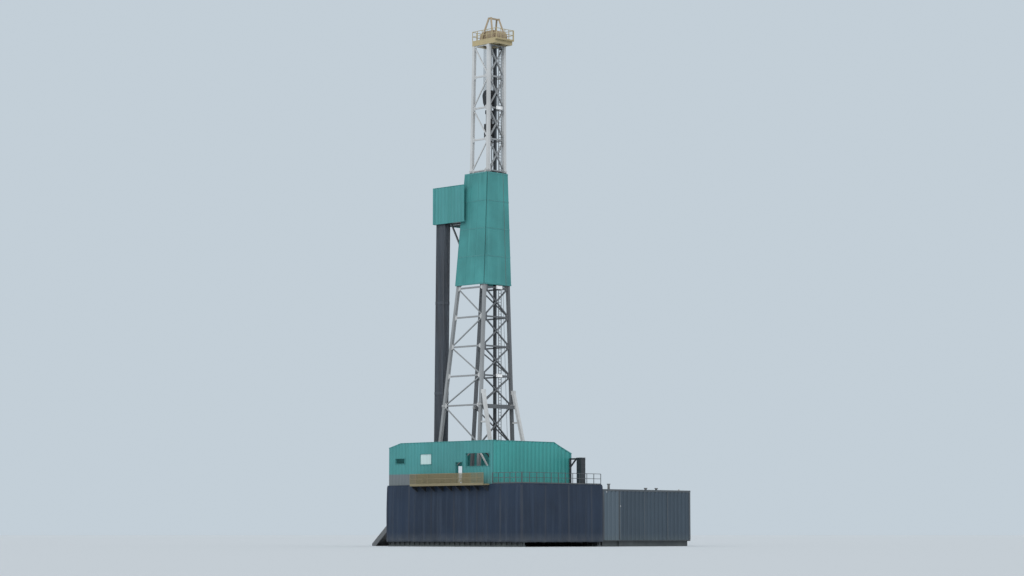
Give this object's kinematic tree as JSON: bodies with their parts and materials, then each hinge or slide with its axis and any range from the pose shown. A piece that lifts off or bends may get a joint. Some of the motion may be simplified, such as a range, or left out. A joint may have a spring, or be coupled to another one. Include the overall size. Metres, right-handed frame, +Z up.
{
  "type": "land drilling rig 1:10 scale model",
  "caption": "Tall lattice mast with crown platform, racking board and teal wind walls on a skirted drill floor, with pipe ramp, stairs and a ribbed tank house; the travelling gear slides.",
  "frame": {"origin": "middle of the outline that the whole rig covers on the ground, at ground level", "axes": "+Z up along the mast, -X towards the pipe ramp and stairs, +X towards the rear platform, +Y towards the tank house"},
  "size_m": [2.6486, 2.5566, 5.3543],
  "materials": {
    "dark_steel": "dark grey paint",
    "lamp": "white lamp",
    "mast_white": "weathered off-white paint",
    "pane": "pale pane",
    "pipe_steel": "dark drill pipe",
    "rail_yellow": "yellow safety paint",
    "skirt": "dark coated tarpaulin",
    "slate": "slate grey ribbed sheet",
    "steel": "worn steel",
    "teal": "semi-matt teal paint"
  },
  "bodies": {
    "rig": {"base_beams": "dark_steel", "sub_frames": "dark_steel", "cross_frames": "dark_steel", "drill_floor": "dark_steel", "rotary_table": "steel", "skirt_near": "skirt", "skirt_far": "skirt", "skirt_front": "skirt", "skirt_rear": "skirt", "windwall_near": "teal", "windwall_far": "teal", "windwall_front": "teal", "windwall_rear": "teal", "side_window": "pane", "porch": "steel", "floor_rails": "rail_yellow", "handling_frame": "dark_steel", "pipe_ramp": "steel", "stair_stringers": "steel", "stair_treads": "steel", "stair_rails": "rail_yellow", "drawworks": "teal", "mast_near_lower": "mast_white", "mast_near_middle": "mast_white", "mast_near_upper": "mast_white", "mast_far_lower": "mast_white", "mast_far_middle": "mast_white", "mast_far_upper": "mast_white", "mast_back_lower": "mast_white", "mast_back_middle": "mast_white", "mast_back_upper": "mast_white", "guide_rail": "dark_steel", "a_frame_legs": "mast_white", "a_frame_head": "mast_white", "crown_frame": "rail_yellow", "crown_rail": "rail_yellow", "crown_sheaves": "steel", "crown_guard": "rail_yellow", "gin_frame": "rail_yellow", "racking_board": "steel", "racking_walls": "teal", "wrap_near": "teal", "wrap_far": "teal", "wrap_rear": "teal", "pipe_stands": "pipe_steel", "drill_lines": "steel", "hoist_lines": "steel", "mast_ladder": "steel", "floodlights": "lamp", "tank_house_base": "dark_steel", "tank_house_walls": "slate", "tank_house_roof": "slate", "tank_house_vents": "steel"},
    "travelling_gear": {"travelling_block": "dark_steel", "top_drive": "dark_steel"}
  },
  "joints": [
    {"name": "block_hoist", "type": "slide", "parent": "rig", "child": "travelling_gear", "axis": [0, 0, 1], "range_m": [-3.1, 0.25], "deforming": ["drill_lines"]}
  ]
}
